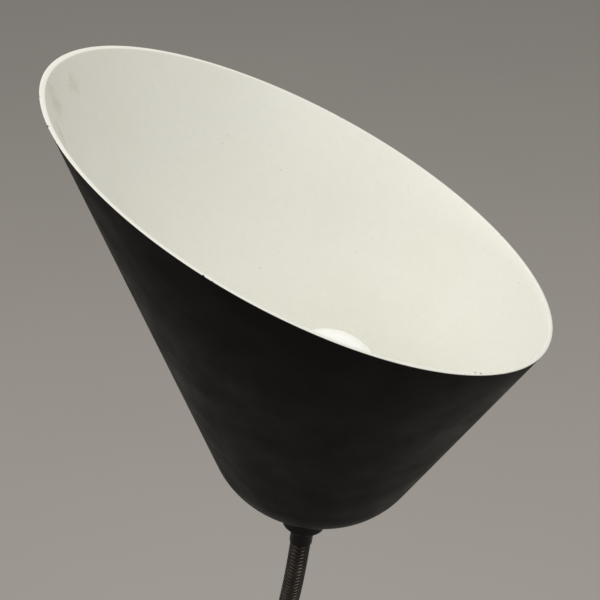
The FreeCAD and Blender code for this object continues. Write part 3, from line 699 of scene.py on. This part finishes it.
# The neck's path: a curve of this order, which is measured in this many steps a span.
PATH_ORDER = 3
PATH_STEPS = 24

# How deep the tube behind the wire lies, as a share of the wire's radius.
CORE_DEPTH = 0.75


def neck_path():
    """A smooth curve from the ferrule to the sleeve, drawn by the hinges, and its points."""
    half_link = (HINGES[2] - HINGES[1]).length / 2
    first = HINGES[0] - Vector((0, 0, half_link))
    last = HINGES[-1] + head_axis() * half_link
    route = [first, *HINGES, last]
    data = bpy.data.curves.new("neck_path", "CURVE")
    data.dimensions = "3D"
    data.twist_mode = "MINIMUM"
    data.resolution_u = PATH_STEPS
    spline = data.splines.new("NURBS")
    spline.points.add(len(route) - 1)
    for point, place in zip(spline.points, route):
        point.co = (*place, 1)
    spline.order_u = PATH_ORDER
    spline.use_endpoint_u = True
    path = bpy.data.objects.new("neck_path", data)
    bpy.context.collection.objects.link(path)
    return path, route


def add_core(name, sizes, outer, start, length, steps):
    """The plain tube behind the wire, in short rings so that it can bend."""
    outline = [(sizes.bore, start)]
    outline += [(outer, start + length * step / steps) for step in range(steps + 1)]
    outline += [(sizes.bore, start + length * step / steps)
                for step in range(steps, -1, -1)]
    core = turned_shell(name, sizes.steps, outline)
    merge_points()
    outward(core)
    return core


def wound_wire(name, coil, wire, start, pitch, turns, sides, steps):
    """Whole turns of round wire about +Z, closed at both ends.

    Coil is the radius of the wire's middle and wire is the wire's own radius."""
    piece = new_circle(name, sides, wire, (math.pi / 2, 0, 0))
    bpy.ops.object.transform_apply(location=True, rotation=True, scale=True)
    bpy.ops.object.mode_set(mode="EDIT")
    bpy.ops.mesh.select_all(action="SELECT")
    bpy.ops.transform.translate(value=(coil, 0, start))
    bpy.ops.object.mode_set(mode="OBJECT")
    winding = piece.modifiers.new("winding", "SCREW")
    winding.axis = "Z"
    winding.angle = 2 * math.pi
    winding.screw_offset = pitch
    winding.iterations = turns
    winding.steps = steps
    winding.render_steps = steps
    winding.use_merge_vertices = False
    apply_modifiers(piece)
    bpy.ops.object.mode_set(mode="EDIT")
    select_edges(piece, lambda edge: edge.is_boundary)
    bpy.ops.mesh.fill_holes(sides=0)
    outward(piece)
    return piece


def straight_hose(name, sizes, start, pitch, turns):
    """A straight length of wound hose along +Z: the wire and the tube behind it."""
    wire = sizes.wire_share * pitch / 2
    coil = wound_wire(name, sizes.radius - wire, wire, start, pitch, turns,
                      sizes.wire_sides, sizes.steps)
    core = add_core(f"{name}_core", sizes, sizes.radius - CORE_DEPTH * wire, start,
                    pitch * turns, turns)
    select_pieces(coil, core)
    bpy.ops.object.join()
    return coil


def build_neck(sizes, colours):
    """The flexible hose, in one piece across each hinge, laid along a smooth curve through the
    hinges.
    """
    path, route = neck_path()
    length = path.data.splines[0].calc_length(resolution=PATH_STEPS)
    spans = len(HINGES)
    span = length / spans
    pitch = span / sizes.turns
    wire = blackened_wire("neck_wire", colours.neck)
    middles = [route[0]]
    middles += [(before + after) / 2 for before, after in zip(HINGES, HINGES[1:])]
    middles.append(route[-1])
    for number in range(1, spans + 1):
        start, turns = span * (number - 1), sizes.turns
        if number == 1:
            start -= pitch * sizes.spare_turns
            turns += sizes.spare_turns
        if number == spans:
            turns += sizes.spare_turns
        hose = straight_hose(f"neck_hose_{number:02d}", sizes, start, pitch, turns)
        bend = hose.modifiers.new("bend", "CURVE")
        bend.object = path
        bend.deform_axis = "POS_Z"
        apply_modifiers(hose)
        hose.data.materials.clear()
        hose.data.materials.append(wire)
        settle(hose, Matrix.Identity(4), smooth=WIRE_SMOOTH)
        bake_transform(hose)
        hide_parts(f"neck_link_{number:02d}")
        if number == 1:
            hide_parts("neck_link_00")
    bpy.data.objects.remove(path)


# --- the lampholder ----------------------------------------------------------------------

# A face of the skirt leans less than this: its normal's share along the axis.
UPRIGHT = 0.1


def build_holder_grip(sizes, washer_lift, material):
    """The lampholder's body with the grip ribs round its skirt."""
    place = head_matrix(washer_lift)
    back = place.inverted()
    body = frame["nodes"]["holder_body"]
    points = [back @ vertex.co for vertex in body.data.vertices]
    radii = [math.hypot(point.x, point.y) for point in points]
    heights = [point.z for point in points]
    bore, radius = min(radii), max(radii)
    low, high = min(heights), max(heights)
    edge = sizes.edge
    outline = [(bore, low), (radius - edge, low), (radius, low + edge),
               (radius, low + sizes.plain), (radius, high - sizes.plain),
               (radius, high - edge), (radius - edge, high), (bore, high), (bore, low)]
    sides = sizes.ribs * sizes.faces_per_rib
    grip = turned_shell("holder_grip", sides, outline)
    merge_points()
    bpy.ops.mesh.normals_make_consistent(inside=False)
    step = 2 * math.pi / sides

    def on_rib(centre, normal):
        """One face for each rib, round the middle band of the skirt."""
        around = math.atan2(centre.y, centre.x) / step - 0.5
        return (abs(normal.z) < UPRIGHT and math.hypot(centre.x, centre.y) > radius - edge
                and low + sizes.plain < centre.z < high - sizes.plain
                and round(around) % sizes.faces_per_rib == 0)

    select_faces(grip, on_rib)
    bpy.ops.mesh.inset(thickness=sizes.taper, depth=sizes.depth, use_individual=True)
    outward(grip)
    grip.data.materials.append(material)
    settle(grip, place)
    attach(grip, "head")
    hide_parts("holder_body")


# --- the foot switch ---------------------------------------------------------------------

def build_spring(sizes):
    """The button's coil spring, wound to fit the CAD spring's box."""
    low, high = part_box("switch_spring")
    place = (low + high) / 2
    rise = high.z - low.z
    pitch = (rise - 2 * sizes.wire) / sizes.turns
    spring = wound_wire("button_spring", high.x - place.x - sizes.wire, sizes.wire,
                        low.z + sizes.wire, pitch, sizes.turns, sizes.wire_sides,
                        sizes.steps)
    spring.data.materials.append(plated_metal("spring_wire", (0.45, 0.45, 0.45)))
    settle(spring, Matrix.Translation((place.x, place.y, 0)), smooth=WIRE_SMOOTH)
    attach(spring, "stand")
    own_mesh(spring)
    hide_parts("switch_spring")


# --- operators ---------------------------------------------------------------------------

class LAMP_OT_shade(bpy.types.Operator):
    """Build the two-coloured shade with its slanted mouth"""

    bl_idname = "lamp.shade"
    bl_label = "Shade"

    def execute(self, context):
        scene = context.scene
        build_shade(scene.lamp_shade, scene.lamp_colours)
        return {"FINISHED"}


class LAMP_OT_neck(bpy.types.Operator):
    """Wind the flexible neck along its hinges"""

    bl_idname = "lamp.neck"
    bl_label = "Neck"

    def execute(self, context):
        scene = context.scene
        build_neck(scene.lamp_neck, scene.lamp_colours)
        return {"FINISHED"}


class LAMP_OT_spring(bpy.types.Operator):
    """Wind the spring under the foot switch's button"""

    bl_idname = "lamp.spring"
    bl_label = "Button spring"

    def execute(self, context):
        build_spring(context.scene.lamp_spring)
        return {"FINISHED"}


class LAMP_OT_head_fittings(bpy.types.Operator):
    """Finish the collar, the ferrules, the lampholder and the bulb"""

    bl_idname = "lamp.head_fittings"
    bl_label = "Head fittings"

    def execute(self, context):
        colours = context.scene.lamp_colours
        paint(satin_paint("fitting_black", colours.black, (0.3, 0.44)),
              "neck_ferrule_lower", "neck_ferrule_upper", "shade_collar")
        phenolic = moulded("holder_black", (0.012, 0.011, 0.010), (0.3, 0.42))
        paint(phenolic, "holder_cap")
        build_holder_grip(context.scene.lamp_grip, context.scene.lamp_shade.washer_lift,
                          phenolic)
        paint(moulded("holder_ceramic", (0.70, 0.68, 0.62), (0.2, 0.34)), "holder_insert")
        paint(plated_metal("holder_brass", (0.72, 0.52, 0.22)),
              "holder_shell", "holder_contact")
        paint(plated_metal("bulb_nickel", (0.66, 0.64, 0.60)), "bulb_cap")
        paint(fibre_board("washer_fibre", (0.30, 0.09, 0.05)), "shade_washer")
        paint(opal_glass("bulb_opal", colours.opal), "bulb_glass")
        return {"FINISHED"}


class LAMP_OT_lead(bpy.types.Operator):
    """Finish the lead inside the lamp and the switch's wires"""

    bl_idname = "lamp.lead"
    bl_label = "Lead"

    def execute(self, context):
        inside = [node for node in frame["nodes"] if node.startswith("neck_lead_")]
        paint(moulded("lead_sheath", (0.02, 0.02, 0.02), (0.45, 0.6)),
              "pole_lead", "head_lead", *inside)
        paint(moulded("wire_sheath", (0.16, 0.05, 0.02), (0.3, 0.45)), "switch_wires")
        return {"FINISHED"}


class LAMP_OT_pole(bpy.types.Operator):
    """Finish the pole, its foot and its joiner"""

    bl_idname = "lamp.pole"
    bl_label = "Pole"

    def execute(self, context):
        colours = context.scene.lamp_colours
        paint(satin_paint("pole_black", colours.black, (0.32, 0.46)),
              "lower_pole", "upper_pole", "pole_joiner", "pole_foot")
        paint(plated_metal("grub_zinc", (0.50, 0.49, 0.46)), "foot_grub_screw")
        return {"FINISHED"}


class LAMP_OT_base(bpy.types.Operator):
    """Finish the base, its fixings, the cord's entry and the foot switch"""

    bl_idname = "lamp.base"
    bl_label = "Base"

    def execute(self, context):
        colours = context.scene.lamp_colours
        paint(satin_paint("base_black", colours.black, (0.34, 0.5)), "base_cover")
        paint(cast_metal("weight_iron", (0.06, 0.055, 0.05)), "base_weight")
        paint(foam_rubber("pad_foam", (0.022, 0.022, 0.022)), "base_pad")
        paint(plated_metal("fixing_zinc", (0.58, 0.57, 0.54)),
              "base_stud", "base_washer", "base_nut", "clamp_screws")
        paint(moulded("gland_rubber", (0.014, 0.014, 0.014), (0.6, 0.75), 600, 0.00012),
              "cable_gland")
        paint(moulded("clamp_plastic", (0.02, 0.02, 0.02)), "cord_clamp", "switch_body")
        paint(moulded("terminal_nylon", (0.62, 0.58, 0.48), (0.35, 0.5)),
              "terminal_block")
        paint(moulded("button_plastic", (0.012, 0.012, 0.012), (0.22, 0.36)),
              "switch_button", "switch_ring")
        return {"FINISHED"}


# The lights: the place from the bulb and the width in metres, the power and the tint.
LIGHTS = {
    "key_light": ((-0.6, 0.7, 2.3), 1.5, 32, (1.0, 0.99, 0.965)),
    "front_light": ((1.5, -1.7, 2.5), 1.8, 50, (1.0, 0.985, 0.95)),
    "floor_light": ((-2.4, -1.0, 2.8), 3.0, 26, (1.0, 0.98, 0.95)),
}

# The soft light from all round.
GLOW = (1.0, 0.97, 0.93, 1)
GLOW_STRENGTH = 0.3

# The camera's sensor in millimetres, and how far it sees in metres.
SENSOR_WIDTH = 36
CAMERA_REACH = 100


class LAMP_OT_stage(bpy.types.Operator):
    """Set up the floor, the soft lights and the camera"""

    bl_idname = "lamp.stage"
    bl_label = "Stage"

    def execute(self, context):
        scene = context.scene
        scene.view_settings.view_transform = "Standard"
        sizes = scene.lamp_stage
        self.lay_floor(sizes, scene.lamp_colours)
        self.hang_lights(scene)
        self.place_camera(scene, sizes)
        return {"FINISHED"}

    def lay_floor(self, sizes, colours):
        """One wide plain floor."""
        start_fresh()
        bpy.ops.mesh.primitive_plane_add(size=sizes.floor_width, location=(0, 0, 0))
        floor = bpy.context.object
        floor.name = "floor"
        floor.data.materials.append(pale_floor("floor_pale", colours.floor))

    def hang_lights(self, scene):
        """Round soft lights that face the bulb, and the glow from all round."""
        head = middle("bulb_glass")
        for name, (offset, size, power, tint) in LIGHTS.items():
            lamp = bpy.data.lights.new(name, "AREA")
            lamp.shape = "DISK"
            lamp.size = size
            lamp.energy = power
            lamp.color = tint
            light = bpy.data.objects.new(name, lamp)
            scene.collection.objects.link(light)
            light.location = head + Vector(offset)
            light.rotation_euler = (-Vector(offset)).to_track_quat("-Z", "Y").to_euler()
        world = bpy.data.worlds.new("studio")
        world.use_nodes = True
        glow = world.node_tree.nodes["Background"]
        glow.inputs["Color"].default_value = GLOW
        glow.inputs["Strength"].default_value = GLOW_STRENGTH
        scene.world = world

    def place_camera(self, scene, sizes):
        """The camera, level from side to side and looking along +Y and down."""
        tilt = sizes.elevation
        forward = Vector((0, math.cos(tilt), -math.sin(tilt)))
        down = Vector((0, -math.sin(tilt), -math.cos(tilt)))
        shade = scene.lamp_shade
        tip = head_matrix(shade.washer_lift) @ Vector((0, 0, -sizes.tip))
        lens = bpy.data.cameras.new("camera")
        lens.lens = sizes.lens
        lens.sensor_width = SENSOR_WIDTH
        lens.clip_end = CAMERA_REACH
        camera = bpy.data.objects.new("camera", lens)
        scene.collection.objects.link(camera)
        camera.location = (tip - forward * sizes.distance - down * sizes.above
                           - Vector((sizes.beside, 0, 0)))
        camera.rotation_euler = (math.pi / 2 - tilt, 0, 0)
        scene.camera = camera


class LAMP_PT_panel(bpy.types.Panel):
    """The lamp's pieces, in the order that they are built"""

    bl_label = "Floor lamp"
    bl_idname = "LAMP_PT_panel"
    bl_space_type = "VIEW_3D"
    bl_region_type = "UI"
    bl_category = "Lamp"

    def draw(self, context):
        layout = self.layout
        for operator in OPERATORS:
            layout.operator(operator.bl_idname)
        for group in GROUPS:
            settings = getattr(context.scene, group)
            box = layout.box()
            for name in settings.__annotations__:
                box.prop(settings, name)


GROUPS = {
    "lamp_shade": LampShadeSizes,
    "lamp_neck": LampNeckSizes,
    "lamp_spring": LampSpringSizes,
    "lamp_grip": LampGripSizes,
    "lamp_colours": LampColours,
    "lamp_stage": LampStageSizes,
}
OPERATORS = (LAMP_OT_stage, LAMP_OT_shade, LAMP_OT_neck, LAMP_OT_spring,
             LAMP_OT_head_fittings, LAMP_OT_lead, LAMP_OT_pole, LAMP_OT_base)


def register():
    """Add the settings, the operators and the panel to Blender."""
    for group in GROUPS.values():
        bpy.utils.register_class(group)
    for name, group in GROUPS.items():
        setattr(bpy.types.Scene, name, bpy.props.PointerProperty(type=group))
    for operator in OPERATORS:
        bpy.utils.register_class(operator)
    bpy.utils.register_class(LAMP_PT_panel)


def unregister():
    """Take away what register added."""
    bpy.utils.unregister_class(LAMP_PT_panel)
    for operator in reversed(OPERATORS):
        bpy.utils.unregister_class(operator)
    for name in GROUPS:
        delattr(bpy.types.Scene, name)
    for group in reversed(GROUPS.values()):
        bpy.utils.unregister_class(group)


def main():
    """Build the lamp by its operators."""
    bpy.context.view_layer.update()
    register()
    bpy.ops.lamp.stage()
    bpy.ops.lamp.shade()
    bpy.ops.lamp.neck()
    bpy.ops.lamp.spring()
    bpy.ops.lamp.head_fittings()
    bpy.ops.lamp.lead()
    bpy.ops.lamp.pole()
    bpy.ops.lamp.base()
    bpy.context.view_layer.update()


if __name__ == "__main__":
    main()
